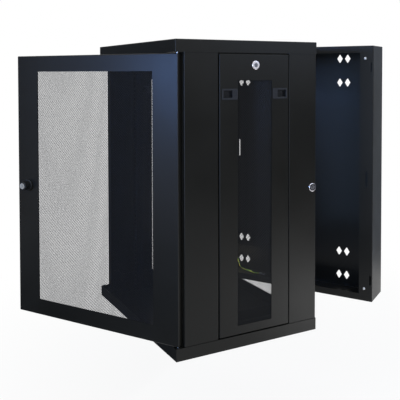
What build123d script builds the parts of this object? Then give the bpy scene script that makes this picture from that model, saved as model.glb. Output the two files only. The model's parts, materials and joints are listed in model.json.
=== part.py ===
from build123d import *
import math
import os

# Wall mount network cabinet: a wall section, a centre body that swings out from it and a mesh front door.
# The wall is the plane y = 0, the front faces -Y, and the origin is the middle of the wall section's back.
# Everything is modelled closed, then the body and the door are turned open to the stored pose.

# Overall size: the width is the 19 inch rack opening plus room for posts and panels at each side
# The body's depth follows from the strips of its posts and the side panel between them
rack_opening = 450.0
side_room = 75.0
cabinet_height = 890.0
wall_depth = 125.0
section_gap = 2.0

# Stored pose, in degrees from closed
body_opening = 31.5
door_opening = 33.0

# Sheet metal
sheet = 1.6
inner_bend = 0.8
nest_gap = 0.4
seam = 3.0

# Wall section
side_lip = 46.0
end_lip = 24.0
stud_inset = 96.8
stud_offset = -44.0
diamond_width = 21.0
diamond_height = 34.0
diamond_round = 2.5
diamond_step_width = 29.0
diamond_step_height = 88.0
diamond_end_inset = 85.5
back_slot_width = 5.5
back_slot_height = 66.0
back_slot_inset = 31.0
back_slot_rise = 49.0
slit_width = 5.0
slit_length = 33.0
slit_inset = 7.0
slit_end_inset = 75.0

# Screws on the wall section's lip
screw_radius = 3.0
screw_head_radius = 5.0
screw_head_height = 3.5
screw_head_round = 3.0
screw_reach = 8.0
screw_inset = 28.0
screw_end_inset = 44.0
screw_clearance = 0.15
screw_window_margin = 2.5

# Hinges between wall section and body
hinge_pin_radius = 4.0
hinge_barrel_radius = 7.0
hinge_stand_off = 0.5
hinge_leaf_height = 45.0
hinge_leaf_width = 36.0
hinge_leaf_thickness = 3.0
hinge_end_inset = 93.0
hinge_head_radius = 6.5
hinge_head_height = 3.0
running_gap = 0.05

# Top and bottom pans and the corner posts
pan_height = 36.0
door_recess = 27.0
front_strip = 109.0
rear_strip = 103.0
front_flange = 30.0
rear_flange = 45.0
stop_width = 14.0

# Side panels
panel_return = 14.0
sill_height = 34.0
sill_overlap = 14.0
window_width = 118.0
window_front_margin = 60.0
window_rear_margin = 62.0
window_top_margin = 76.0
window_bottom_margin = 26.0
mesh_lap = 3.0

# Perforated sheets: a coarse grid of square openings in place of the fine round holes
mesh_sheet = 1.0
mesh_opening = 27.0
mesh_bar = 8.0

# Key locks
bezel_radius = 13.0
bezel_height = 4.5
bezel_round = 2.0
lock_barrel_radius = 9.0
lock_plug_radius = 6.5
lock_stud_radius = 4.0
lock_hole_gap = 0.2
lock_nut_across = 21.0
lock_nut_height = 4.0
key_slot_width = 1.8
key_slot_length = 8.5
key_slot_depth = 6.0
cam_thickness = 3.0
cam_width = 14.0
cam_gap = 0.8
side_lock_drop = 32.0
side_cam_length = 38.0
swing_lock_inset = 16.5
swing_lock_grip = 18.0
swing_cam_length = 42.0
swing_hook_length = 11.0
swing_hook_width = 9.0
cam_slot_width = 8.0
cam_slot_margin = 2.5

# Slide latches
latch_length = 52.0
latch_height = 31.0
latch_corner = 3.0
latch_rim = 1.8
latch_rim_width = 3.0
latch_wall = 1.5
latch_well_depth = 8.0
latch_edge_inset = 33.0
latch_drop = 115.0
latch_travel = 8.0
latch_catch = 6.0
slider_gap = 0.3
slider_thickness = 6.0
finger_well_length = 25.0
finger_well_depth = 4.5
slider_frame = 2.5
cover_length = 13.0
cover_thickness = 1.5
cover_rib_count = 4
cover_rib_width = 1.6
cover_rib_step = 4.6
cover_rib_height = 0.9
stem_length = 9.0
stem_height = 10.0
bolt_thickness = 3.0
bolt_height = 18.0
bolt_gap = 0.5

# Rack rails, to the 19 inch standard
rack_unit_height = 44.45
rack_hole_step = 15.875
rack_hole_inset = 7.55
rack_hole_size = 9.5
rail_sheet = 2.0
rail_face = 22.0
rail_depth = 38.0
rail_margin = 3.0
front_rail_set_back = 105.0
rear_rail_set_back = 45.0

# Brackets that carry the rails
bracket_sheet = 2.0
bracket_height = 30.0
bracket_drop = 12.0
bracket_foot = 24.0
bracket_front = 40.0
bracket_rear = 18.0
rail_bolt_radius = 3.0
rail_bolt_gap = 0.2
rail_bolt_head_radius = 5.5
rail_bolt_head_height = 3.5
rail_nut_across = 10.0
rail_nut_height = 5.0
rail_slot_length = 30.0

# Door
door_inset = 3.0
door_thickness = 20.0
door_hinge_gap = 5.0
door_free_gap = 6.0
door_stile = 83.0
door_rail = 49.0
door_back_lip = 12.0
door_mesh_lap = 12.0
door_pin_inset = 12.0
door_pin_set_back = 12.0
door_pin_radius = 3.0
door_pin_length = 22.0
door_collar_radius = 4.0
door_collar_height = 4.0
pivot_plate = 3.0
pivot_plate_width = 60.0

# Door knob lock
knob_inset = 42.0
knob_base_radius = 18.0
knob_base_height = 7.0
knob_radius = 13.5
knob_height = 21.0
knob_round = 2.5
knob_gap = 0.3
knob_insert_radius = 9.0
knob_insert_height = 1.0
knob_barrel_radius = 10.0
knob_spindle_radius = 6.0
knob_cam_length = 34.0
knob_nut_across = 28.0

# Earth wire in the wall section
earth_stud_inset = 16.0
earth_stud_rise = 59.0
earth_stud_radius = 2.5
earth_stud_length = 12.0
earth_nut_across = 8.0
earth_nut_height = 4.0
earth_ring_radius = 5.5
earth_tongue_width = 5.0
earth_tongue_sheet = 1.0
earth_barrel_radius = 3.0
earth_barrel_length = 12.0
earth_lug_length = 20.0
earth_lug_tilt = 18.0
earth_gap = 0.2
earth_wire_radius = 2.0

# Derived planes and heights
bend = sheet + inner_bend
cabinet_width = rack_opening + 2 * side_room
half_width = cabinet_width / 2
half_height = cabinet_height / 2
stud_spacing = cabinet_width - 2 * stud_inset
diamond_rise = half_height - diamond_end_inset
slit_rise = half_height - slit_end_inset
screw_rise = half_height - screw_end_inset
hinge_rise = half_height - hinge_end_inset
panel_length = window_width + window_front_margin + window_rear_margin
body_depth = door_recess + front_strip + panel_length + 2 * seam + rear_strip
rear_y = -(wall_depth + section_gap)
front_y = rear_y - body_depth
post_face = half_width - sheet
post_height = cabinet_height - 2 * (bend + nest_gap)
front_jamb_y = front_y + door_recess + front_strip
rear_jamb_y = rear_y - rear_strip
stop_face = half_width - panel_return
skirt_edge = half_height - pan_height
panel_middle_y = (rear_jamb_y + front_jamb_y) / 2
panel_height = 2 * (skirt_edge - seam)
panel_top = panel_height / 2
window_height = panel_height - window_top_margin - window_bottom_margin
window_middle_y = panel_middle_y + (window_front_margin - window_rear_margin) / 2
window_middle_z = (window_bottom_margin - window_top_margin) / 2
rack_units = int(2 * skirt_edge // rack_unit_height)
rack_hole_spacing = rack_opening + 2 * rack_hole_inset
rail_length = rack_units * rack_unit_height + 2 * rail_margin
rail_outside = rack_opening / 2 + rail_face
swing_axis_x = -(half_width + hinge_barrel_radius + hinge_stand_off)
swing_axis_y = -(wall_depth + section_gap / 2)
door_axis_x = half_width - door_pin_inset
door_axis_y = front_y + door_pin_set_back
door_face_y = front_y + door_inset
door_back_y = door_face_y + door_thickness
door_right = half_width - door_hinge_gap
door_left = -half_width + door_free_gap
door_width = door_right - door_left
door_middle_x = (door_right + door_left) / 2
door_height = 2 * (skirt_edge - seam)

os.makedirs("parts", exist_ok=True)


# Shared shapes


def mirrored(piece):
    """The left-hand twin of a right-hand piece."""
    with BuildPart() as twin:
        add(piece.part)
        mirror(about=Plane.YZ, mode=Mode.REPLACE)
    return twin


def folded_tray(plane, length, width, height, open_side):
    """A folded sheet tray: a block with rounded bends, hollowed from its open side."""
    with BuildPart() as tray:
        with BuildSketch(plane):
            Rectangle(length, width)
        extrude(amount=height)
        mouth = faces().sort_by(open_side)[0]
        rims = [edge for edge in edges() if edge not in mouth.edges()]
        fillet(rims, radius=bend)
        offset(amount=-sheet, openings=faces().sort_by(open_side)[0])
    return tray


def corner_post(outline, inside):
    """One sheet bent along the outline of its outer face, from the floor to the roof."""
    with BuildPart() as post:
        with BuildSketch(Plane.XY.offset(-post_height / 2)):
            with BuildLine():
                FilletPolyline(*outline, radius=bend)
                offset(amount=sheet, side=inside)
            make_face()
        extrude(amount=post_height)
    return post


def perforated_sheet(plane, width, height, lap):
    """A flat sheet that laps a window on every side, with as many openings as the window takes."""
    step = mesh_opening + mesh_bar
    across = int((width + mesh_bar) // step)
    down = int((height + mesh_bar) // step)
    with BuildPart() as perforated:
        with BuildSketch(plane):
            Rectangle(width + 2 * lap, height + 2 * lap)
            with GridLocations(step, step, across, down):
                Rectangle(mesh_opening, mesh_opening, mode=Mode.SUBTRACT)
        extrude(amount=-mesh_sheet)
    return perforated


def ring_lug(plane):
    """Crimped ring lug: a ring on the plane, a tongue along its X axis and a barrel for the wire."""
    with BuildPart() as lug:
        with BuildSketch(plane):
            Circle(earth_ring_radius)
            Rectangle(
                earth_lug_length - earth_barrel_length / 2, earth_tongue_width, align=(Align.MIN, Align.CENTER)
            )
            Circle(earth_stud_radius + screw_clearance, mode=Mode.SUBTRACT)
        extrude(amount=earth_tongue_sheet)
        mouth = plane.location * Pos(earth_lug_length, 0, earth_barrel_radius + earth_gap)
        with BuildSketch(Plane(mouth.position, z_dir=plane.x_dir)):
            Circle(earth_barrel_radius)
        extrude(amount=-earth_barrel_length)
    return lug


def lock_body(plane, grip):
    """Round lock housing: bezel on the face of the plane, threaded barrel behind it, bored for the plug."""
    with BuildPart() as body:
        with BuildSketch(plane):
            Circle(bezel_radius)
        extrude(amount=bezel_height)
        rim = edges().filter_by(GeomType.CIRCLE).sort_by(lambda edge: plane.to_local_coords(edge.center()).Z)[-1]
        fillet(rim, radius=bezel_round)
        with BuildSketch(plane):
            Circle(lock_barrel_radius)
        extrude(amount=-grip)
        with BuildSketch(plane.offset(bezel_height)):
            Circle(lock_plug_radius + running_gap)
        extrude(amount=-(bezel_height + grip), mode=Mode.SUBTRACT)
    return body


def lock_plug(plane, grip):
    """Turning plug with a key slot in its face and a stud for the cam at its inner end."""
    with BuildPart() as plug:
        with BuildSketch(plane.offset(bezel_height)):
            Circle(lock_plug_radius)
        extrude(amount=-(bezel_height + grip))
        with BuildSketch(plane.offset(-grip)):
            Circle(lock_stud_radius)
        extrude(amount=-cam_thickness)
        with BuildSketch(plane.offset(bezel_height)):
            Rectangle(key_slot_width, key_slot_length)
        extrude(amount=-key_slot_depth, mode=Mode.SUBTRACT)
    return plug


def lock_cam(plane, grip, length, hook_length=0.0):
    """Flat cam along the plane's Y axis, with an optional hook on the side away from its X axis."""
    with BuildPart() as cam:
        with BuildSketch(plane.offset(-grip)):
            Circle(cam_width / 2)
            with Locations((0, length / 2)):
                Rectangle(cam_width, length)
            if hook_length:
                with Locations((-cam_width / 2, length - swing_hook_width / 2)):
                    Rectangle(hook_length, swing_hook_width, align=(Align.MAX, Align.CENTER))
            Circle(lock_stud_radius, mode=Mode.SUBTRACT)
        extrude(amount=-cam_thickness)
    return cam


def lock_nut(plane, across, barrel_radius):
    """Thin six-sided nut on the back of the sheet that a lock's barrel passes through."""
    with BuildPart() as nut:
        with BuildSketch(plane.offset(-sheet)):
            RegularPolygon(across / 2, 6, major_radius=False)
            Circle(barrel_radius + lock_hole_gap, mode=Mode.SUBTRACT)
        extrude(amount=-lock_nut_height)
    return nut


# Wall section: folded box with an inward lip

swing_lock_plane = Plane((post_face, rear_y - swing_lock_inset, 0), x_dir=(0, 1, 0), z_dir=(1, 0, 0))
cam_slot_x = post_face - swing_lock_grip - cam_thickness / 2
cam_slot_bottom = -(swing_cam_length + cam_slot_margin)
cam_slot_top = cam_width / 2 + cam_slot_margin
cam_slot_height = cam_slot_top - cam_slot_bottom
cam_slot_z = (cam_slot_top + cam_slot_bottom) / 2
lip_screws_at = [(side * (half_width - screw_inset), rise * screw_rise) for side in (-1, 1) for rise in (-1, 1)]

with BuildPart() as wall_hollow:
    with BuildSketch(Plane.XZ.offset(sheet)):
        Rectangle(cabinet_width - 2 * sheet, cabinet_height - 2 * sheet)
    extrude(amount=wall_depth - 2 * sheet)
    fillet(edges(), radius=inner_bend)

with BuildPart() as wall_frame:
    with BuildSketch(Plane.XZ):
        Rectangle(cabinet_width, cabinet_height)
    extrude(amount=wall_depth)
    fillet(edges(), radius=bend)
    add(wall_hollow.part, mode=Mode.SUBTRACT)
    with BuildSketch(Plane.XZ.offset(wall_depth)):
        Rectangle(cabinet_width - 2 * side_lip, cabinet_height - 2 * end_lip)
        with GridLocations(2 * (half_width - slit_inset), 2 * slit_rise, 2, 2):
            Rectangle(slit_width, slit_length)
        with Locations(*lip_screws_at):
            Circle(screw_radius + screw_clearance)
        with Locations((cam_slot_x, cam_slot_z)):
            Rectangle(cam_slot_width, cam_slot_height)
    extrude(amount=-sheet, mode=Mode.SUBTRACT)
    with BuildSketch(Plane.XZ) as wall_holes:
        with Locations((stud_offset, 0)):
            with GridLocations(stud_spacing, 2 * diamond_rise, 2, 2):
                with GridLocations(diamond_step_width, diamond_step_height, 2, 2):
                    Polygon(
                        (diamond_width / 2, 0),
                        (0, diamond_height / 2),
                        (-diamond_width / 2, 0),
                        (0, -diamond_height / 2),
                    )
        with Locations((back_slot_inset - half_width, back_slot_rise)):
            Rectangle(back_slot_width, back_slot_height)
        fillet(wall_holes.vertices(), radius=diamond_round)
    extrude(amount=sheet, mode=Mode.SUBTRACT)

with BuildPart() as lip_screws:
    with BuildSketch(Plane.XZ.offset(wall_depth)):
        with Locations(*lip_screws_at):
            Circle(screw_head_radius)
    extrude(amount=screw_head_height)
    fillet(edges().filter_by(GeomType.CIRCLE).group_by(Axis.Y)[0], radius=screw_head_round)
    with BuildSketch(Plane.XZ.offset(wall_depth)):
        with Locations(*lip_screws_at):
            Circle(screw_radius)
    extrude(amount=-screw_reach)

# Earth wire: from a stud low on the back plate down to the floor of the wall section, where its free lug lies

earth_stud_place = Vector(-half_width + earth_stud_inset, -sheet, -half_height + earth_stud_rise)
stud_lug_direction = Vector(0, 0, -1).rotate(Axis.Y, -earth_lug_tilt)
stud_lug_plane = Plane(earth_stud_place, x_dir=stud_lug_direction, z_dir=(0, -1, 0))
wall_floor = -half_height + sheet
free_lug_place = Vector(-half_width + 153, -35, wall_floor)
free_lug_direction = Vector(-1, -0.35, 0).normalized()
free_lug_plane = Plane(free_lug_place, x_dir=free_lug_direction, z_dir=(0, 0, 1))
earth_stud_lug = ring_lug(stud_lug_plane)
earth_free_lug = ring_lug(free_lug_plane)

with BuildPart() as earth_stud:
    with BuildSketch(stud_lug_plane):
        Circle(earth_stud_radius)
    extrude(amount=earth_stud_length)
    with BuildSketch(stud_lug_plane.offset(earth_tongue_sheet)):
        RegularPolygon(earth_nut_across / 2, 6, major_radius=False)
    extrude(amount=earth_nut_height)

lug_mouth = Pos(earth_lug_length, 0, earth_barrel_radius + earth_gap)
wire_start = (stud_lug_plane.location * lug_mouth).position
wire_end = (free_lug_plane.location * lug_mouth).position
wire_level = wall_floor + earth_wire_radius + earth_gap
wire_points = [
    wire_start,
    wire_start + stud_lug_direction * 15,
    Vector(-half_width + 35, -8, wire_level + 5),
    Vector(-half_width + 49, -13, wire_level),
    Vector(-half_width + 68, -23, wire_level),
    Vector(-half_width + 87, -30, wire_level),
    Vector(-half_width + 104, -39, wire_level),
    wire_end + free_lug_direction * 14,
    wire_end,
]
wire_runs = [after - before for before, after in zip(wire_points, wire_points[1:])]
wire_radii = []
for before, after in zip(wire_runs, wire_runs[1:]):
    half_turn = math.radians(before.get_angle(after) / 2)
    wire_radii.append(0.45 * min(before.length, after.length) / math.tan(half_turn))
print("earth wire radii", [round(radius) for radius in wire_radii])

with BuildPart() as earth_wire:
    with BuildLine() as wire_route:
        FilletPolyline(*wire_points, radius=wire_radii)
    with BuildSketch(Plane(wire_start, z_dir=stud_lug_direction)):
        Circle(earth_wire_radius)
    sweep()
wire_length = wire_route.wires()[0].length
print("earth wire", round(wire_length), "mm, volume", round(earth_wire.part.volume, 1))

# Lift-off hinges on the left side: the body's leaf stands on the wall section's leaf

hinge_feet = [rise * hinge_rise for rise in (-1, 1)]

with BuildPart() as wall_hinge_fixed_leaves:
    for foot in hinge_feet:
        with BuildSketch(Plane.XY.offset(foot - hinge_leaf_height)):
            with Locations((swing_axis_x, swing_axis_y)):
                Circle(hinge_barrel_radius)
            with Locations((-half_width, swing_axis_y)):
                Rectangle(hinge_leaf_thickness, hinge_leaf_width, align=(Align.MAX, Align.MIN))
            with Locations((swing_axis_x, swing_axis_y)):
                Circle(hinge_pin_radius, mode=Mode.SUBTRACT)
        extrude(amount=hinge_leaf_height)

with BuildPart() as wall_hinge_swing_leaves:
    for foot in hinge_feet:
        with BuildSketch(Plane.XY.offset(foot)):
            with Locations((swing_axis_x, swing_axis_y)):
                Circle(hinge_barrel_radius)
            with Locations((-half_width - hinge_leaf_thickness, swing_axis_y)):
                leaf = half_width + hinge_leaf_thickness - post_face
                Rectangle(leaf, hinge_leaf_width, align=(Align.MIN, Align.MAX))
            with Locations((swing_axis_x, swing_axis_y)):
                Circle(hinge_pin_radius + running_gap, mode=Mode.SUBTRACT)
        extrude(amount=hinge_leaf_height)

with BuildPart() as wall_hinge_pins:
    for foot in hinge_feet:
        with BuildSketch(Plane.XY.offset(foot - hinge_leaf_height)):
            with Locations((swing_axis_x, swing_axis_y)):
                Circle(hinge_pin_radius)
        extrude(amount=2 * hinge_leaf_height)
        with BuildSketch(Plane.XY.offset(foot + hinge_leaf_height)):
            with Locations((swing_axis_x, swing_axis_y)):
                Circle(hinge_head_radius)
        extrude(amount=hinge_head_height)

# Top and bottom pans with the pivot plates for the door pins

pan_middle_y = (front_y + rear_y) / 2
top_panel = folded_tray(
    Plane((0, pan_middle_y, half_height - pan_height)), cabinet_width, body_depth, pan_height, Axis.Z
)
with BuildPart() as bottom_panel:
    add(top_panel.part)
    mirror(about=Plane.XY, mode=Mode.REPLACE)

pivot_plate_depth = door_recess - sheet - nest_gap
with BuildPart() as upper_pivot_plate:
    with BuildSketch(Plane.XY.offset(skirt_edge)):
        with Locations((post_face, front_y + sheet)):
            Rectangle(pivot_plate_width, pivot_plate_depth, align=(Align.MAX, Align.MIN))
        with Locations((door_axis_x, door_axis_y)):
            Circle(door_pin_radius + running_gap, mode=Mode.SUBTRACT)
    extrude(amount=pivot_plate)
    corner = edges().filter_by(Axis.Z).sort_by(Axis.X)[-2:].sort_by(Axis.Y)[0]
    fillet(corner, radius=bend)
with BuildPart() as lower_pivot_plate:
    add(upper_pivot_plate.part)
    mirror(about=Plane.XY, mode=Mode.REPLACE)

# Corner posts: outer strip, jamb and stop for the side panel, flange at the front or rear

rear_flange_y = rear_y - sheet
front_outline = [
    (stop_face, front_jamb_y + stop_width),
    (stop_face, front_jamb_y),
    (post_face, front_jamb_y),
    (post_face, front_y + door_recess),
    (post_face - front_flange, front_y + door_recess),
]
rear_outline = [
    (stop_face, rear_jamb_y - stop_width),
    (stop_face, rear_jamb_y),
    (post_face, rear_jamb_y),
    (post_face, rear_flange_y),
    (post_face - rear_flange, rear_flange_y),
]
front_right_post = corner_post(front_outline, Side.RIGHT)
front_left_post = mirrored(front_right_post)

with BuildPart() as plain_rear_post:
    add(corner_post(rear_outline, Side.LEFT).part)
    with BuildSketch(Plane.XZ.offset(-rear_flange_y)):
        with Locations(*lip_screws_at):
            Circle(screw_head_radius + screw_window_margin)
    extrude(amount=sheet, mode=Mode.SUBTRACT)
rear_left_post = mirrored(plain_rear_post)

with BuildPart() as rear_right_post:
    add(plain_rear_post.part)
    with BuildSketch(swing_lock_plane):
        Circle(lock_barrel_radius + lock_hole_gap)
    extrude(amount=-sheet, mode=Mode.SUBTRACT)
    with BuildSketch(Plane.XZ.offset(-rear_flange_y)):
        with Locations((cam_slot_x, cam_slot_z)):
            Rectangle(cam_slot_width, cam_slot_height)
    extrude(amount=sheet, mode=Mode.SUBTRACT)

# Sills behind the top and bottom edges of each side panel

sill_length = rear_jamb_y - front_jamb_y - 2 * stop_width
with BuildPart() as right_panel_sills:
    with BuildSketch(Plane.YZ.offset(stop_face)):
        for rise in (-1, 1):
            with Locations((panel_middle_y, rise * (panel_top - sill_overlap + sill_height / 2))):
                Rectangle(sill_length, sill_height)
    extrude(amount=-sheet)
left_panel_sills = mirrored(right_panel_sills)

# Side panels: folded tray with a mesh window, a key lock at the top and two slide latches

latch_z = panel_top - latch_drop
latch_reach = panel_length / 2 - latch_edge_inset
latch_ys = [panel_middle_y - latch_reach, panel_middle_y + latch_reach]
tray_length = latch_length - 2 * latch_rim_width
tray_height = latch_height - 2 * latch_rim_width
slider_length = tray_length - 2 * (latch_wall + slider_gap) - latch_travel
side_lock_z = panel_top - side_lock_drop
side_lock_plane = Plane((half_width, panel_middle_y, side_lock_z), x_dir=(0, 1, 0), z_dir=(1, 0, 0))
side_lock_grip = panel_return + sheet + cam_gap
latch_plane = Plane.YZ.offset(half_width)

plain_panel = folded_tray(
    Plane((stop_face, panel_middle_y, 0), x_dir=(0, 1, 0), z_dir=(1, 0, 0)),
    panel_length,
    panel_height,
    panel_return,
    Axis.X,
)
with BuildPart() as right_side_panel:
    add(plain_panel.part)
    with BuildSketch(latch_plane):
        with Locations((window_middle_y, window_middle_z)):
            Rectangle(window_width, window_height)
        for latch_y in latch_ys:
            with Locations((latch_y, latch_z)):
                Rectangle(tray_length + 2 * slider_gap, tray_height + 2 * slider_gap)
        with Locations((panel_middle_y, side_lock_z)):
            Circle(lock_barrel_radius + lock_hole_gap)
    extrude(amount=-sheet, mode=Mode.SUBTRACT)
left_side_panel = mirrored(right_side_panel)

side_mesh_plane = Plane(
    (half_width - sheet, window_middle_y, window_middle_z), x_dir=(0, 1, 0), z_dir=(1, 0, 0)
)
right_side_mesh = perforated_sheet(side_mesh_plane, window_width, window_height, mesh_lap)
left_side_mesh = mirrored(right_side_mesh)

right_side_lock = lock_body(side_lock_plane, side_lock_grip)
right_side_lock_plug = lock_plug(side_lock_plane, side_lock_grip)
right_side_lock_cam = lock_cam(side_lock_plane, side_lock_grip, side_cam_length)
right_side_lock_nut = lock_nut(side_lock_plane, lock_nut_across, lock_barrel_radius)
left_side_lock = mirrored(right_side_lock)
left_side_lock_plug = mirrored(right_side_lock_plug)
left_side_lock_cam = mirrored(right_side_lock_cam)

# Slide latches: a rim and well set in the panel, and a slider whose bolt catches behind the post's stop


def latch_housing(middle_y, outward):
    """Rim on the panel's face and a well through it, with a slot for the slider's stem and a ribbed cover."""
    cover_y = middle_y - outward * (tray_length - 2 * latch_wall - cover_length) / 2
    stem_y = middle_y + outward * (tray_length / 2 - latch_wall - slider_gap - slider_length / 2)
    slot_middle = stem_y - outward * latch_travel / 2
    with BuildPart() as housing:
        with BuildSketch(latch_plane):
            with Locations((middle_y, latch_z)):
                RectangleRounded(latch_length, latch_height, latch_corner)
        extrude(amount=latch_rim)
        with BuildSketch(latch_plane):
            with Locations((middle_y, latch_z)):
                Rectangle(tray_length, tray_height)
        extrude(amount=-(latch_well_depth + latch_wall))
        with BuildSketch(latch_plane.offset(latch_rim)):
            with Locations((middle_y, latch_z)):
                Rectangle(tray_length - 2 * latch_wall, tray_height - 2 * latch_wall)
        extrude(amount=-(latch_rim + latch_well_depth), mode=Mode.SUBTRACT)
        with BuildSketch(latch_plane.offset(-latch_well_depth)):
            with Locations((slot_middle, latch_z)):
                Rectangle(stem_length + latch_travel + 2 * slider_gap, stem_height + 2 * slider_gap)
        extrude(amount=-latch_wall, mode=Mode.SUBTRACT)
        with BuildSketch(latch_plane.offset(latch_rim - cover_rib_height)):
            with Locations((cover_y, latch_z)):
                Rectangle(cover_length, tray_height - 2 * latch_wall)
        extrude(amount=-cover_thickness)
        with BuildSketch(latch_plane.offset(latch_rim - cover_rib_height)):
            with Locations((cover_y, latch_z)):
                with GridLocations(0, cover_rib_step, 1, cover_rib_count):
                    Rectangle(cover_length, cover_rib_width)
        extrude(amount=cover_rib_height)
    return housing


def latch_slider(middle_y, outward):
    """Thumb block with a finger well, a stem through the housing and the bolt behind it."""
    slider_y = middle_y + outward * (tray_length / 2 - latch_wall - slider_gap - slider_length / 2)
    slider_height = tray_height - 2 * (latch_wall + slider_gap)
    face = latch_plane.offset(slider_thickness - latch_well_depth)
    well_y = slider_y + outward * (slider_length / 2 - slider_frame - finger_well_length / 2)
    bolt_face = stop_face - sheet - bolt_gap
    bolt_tip_y = panel_middle_y + outward * (sill_length / 2 + latch_catch)
    bolt_heel_y = slider_y - outward * stem_length / 2
    with BuildPart() as slider:
        with BuildSketch(face):
            with Locations((slider_y, latch_z)):
                Rectangle(slider_length, slider_height)
        extrude(amount=-slider_thickness)
        with BuildSketch(face):
            with Locations((well_y, latch_z)):
                RectangleRounded(finger_well_length, slider_height - 2 * slider_frame, slider_frame)
        extrude(amount=-finger_well_depth, mode=Mode.SUBTRACT)
        with BuildSketch(latch_plane.offset(-latch_well_depth)):
            with Locations((slider_y, latch_z)):
                Rectangle(stem_length, stem_height)
        extrude(amount=-(half_width - latch_well_depth - bolt_face))
        with BuildSketch(Plane.YZ.offset(bolt_face)):
            with Locations(((bolt_tip_y + bolt_heel_y) / 2, latch_z)):
                Rectangle(abs(bolt_tip_y - bolt_heel_y), bolt_height)
        extrude(amount=-bolt_thickness)
    return slider


right_front_latch_housing = latch_housing(latch_ys[0], -1)
right_rear_latch_housing = latch_housing(latch_ys[1], 1)
right_front_latch_slider = latch_slider(latch_ys[0], -1)
right_rear_latch_slider = latch_slider(latch_ys[1], 1)
left_front_latch_housing = mirrored(right_front_latch_housing)
left_rear_latch_housing = mirrored(right_rear_latch_housing)
left_front_latch_slider = mirrored(right_front_latch_slider)
left_rear_latch_slider = mirrored(right_rear_latch_slider)

# Swing lock on the right rear post, with a hooked cam for the wall section's lip
# The cam rests pointing down, clear of the lip

swing_lock = lock_body(swing_lock_plane, swing_lock_grip)
swing_lock_plug = lock_plug(swing_lock_plane, swing_lock_grip)
swing_cam_plane = Plane(swing_lock_plane.origin, x_dir=(0, -1, 0), z_dir=(1, 0, 0))
swing_lock_cam = lock_cam(swing_cam_plane, swing_lock_grip, swing_cam_length, swing_hook_length)
swing_lock_nut = lock_nut(swing_lock_plane, lock_nut_across, lock_barrel_radius)

with BuildPart() as lock_nuts:
    add(right_side_lock_nut.part)
    mirror(about=Plane.YZ)
    add(swing_lock_nut.part)

# Rack rails: angle section with square holes, and the brackets that carry them between the posts

front_rail_y = front_y + front_rail_set_back
rear_rail_y = rear_y - rear_rail_set_back
rail_hole_rows = [
    (number - (rack_units - 1) / 2) * rack_unit_height + row * rack_hole_step
    for number in range(rack_units)
    for row in (-1, 0, 1)
]
bracket_z = rail_length / 2 - bracket_drop - bracket_height / 2
bolt_zs = [-bracket_z, bracket_z]
front_bolt_y = front_rail_y + rail_depth / 2
rear_bolt_y = rear_rail_y - rail_depth / 2


def rack_rail(face_y, inward):
    """Angle section: a drilled face across the rack opening's edge and a leg along the bracket."""
    with BuildPart() as rail:
        with BuildSketch(Plane.XY.offset(-rail_length / 2)):
            with BuildLine():
                Polyline(
                    (rack_opening / 2, face_y),
                    (rail_outside, face_y),
                    (rail_outside, face_y + inward * rail_depth),
                )
                offset(amount=rail_sheet, side=Side.LEFT if inward > 0 else Side.RIGHT)
            make_face()
        extrude(amount=rail_length)
        with BuildSketch(Plane.XZ.offset(-face_y)):
            with Locations(*[(rack_hole_spacing / 2, row) for row in rail_hole_rows]):
                Rectangle(rack_hole_size, rack_hole_size)
        extrude(amount=-inward * rail_sheet, mode=Mode.SUBTRACT)
        with BuildSketch(Plane.YZ.offset(rail_outside)):
            with Locations(*[(face_y + inward * rail_depth / 2, bolt_z) for bolt_z in bolt_zs]):
                Circle(rail_bolt_radius + rail_bolt_gap)
        extrude(amount=-rail_sheet, mode=Mode.SUBTRACT)
    return rail


front_right_rail = rack_rail(front_rail_y, 1)
rear_right_rail = rack_rail(rear_rail_y, -1)
front_left_rail = mirrored(front_right_rail)
rear_left_rail = mirrored(rear_right_rail)

bracket_face = post_face - sheet
with BuildPart() as right_rail_brackets:
    for bolt_z in bolt_zs:
        with BuildSketch(Plane.XY.offset(bolt_z - bracket_height / 2)):
            with BuildLine():
                Polyline(
                    (bracket_face, front_y + bracket_front),
                    (bracket_face, front_y + bracket_front + bracket_foot),
                    (rail_outside + bracket_sheet, front_y + bracket_front + bracket_foot),
                    (rail_outside + bracket_sheet, rear_y - bracket_rear - bracket_foot),
                    (bracket_face, rear_y - bracket_rear - bracket_foot),
                    (bracket_face, rear_y - bracket_rear),
                )
                offset(amount=bracket_sheet, side=Side.LEFT, kind=Kind.INTERSECTION)
            make_face()
        extrude(amount=bracket_height)
        with BuildSketch(Plane.YZ.offset(rail_outside)):
            for bolt_y in (front_bolt_y, rear_bolt_y):
                with Locations((bolt_y, bolt_z)):
                    SlotOverall(rail_slot_length, 2 * (rail_bolt_radius + rail_bolt_gap))
        extrude(amount=bracket_sheet, mode=Mode.SUBTRACT)
left_rail_brackets = mirrored(right_rail_brackets)

with BuildPart() as rail_bolts:
    rail_bolts_at = [(bolt_y, bolt_z) for bolt_y in (front_bolt_y, rear_bolt_y) for bolt_z in bolt_zs]
    with BuildSketch(Plane.YZ.offset(rail_outside - rail_sheet)):
        with Locations(*rail_bolts_at):
            Circle(rail_bolt_head_radius)
    extrude(amount=-rail_bolt_head_height)
    with BuildSketch(Plane.YZ.offset(rail_outside - rail_sheet)):
        with Locations(*rail_bolts_at):
            Circle(rail_bolt_radius)
    extrude(amount=rail_sheet + bracket_sheet)
    with BuildSketch(Plane.YZ.offset(rail_outside + bracket_sheet)):
        with Locations(*rail_bolts_at):
            RegularPolygon(rail_nut_across / 2, 6, major_radius=False)
    extrude(amount=rail_nut_height)
    mirror(about=Plane.YZ)

# Door: folded frame with a mesh window

knob_x = door_left + knob_inset
knob_plane = Plane((knob_x, door_face_y, 0), x_dir=(1, 0, 0), z_dir=(0, -1, 0))
knob_grip = door_recess + sheet + cam_gap - door_inset

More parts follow.
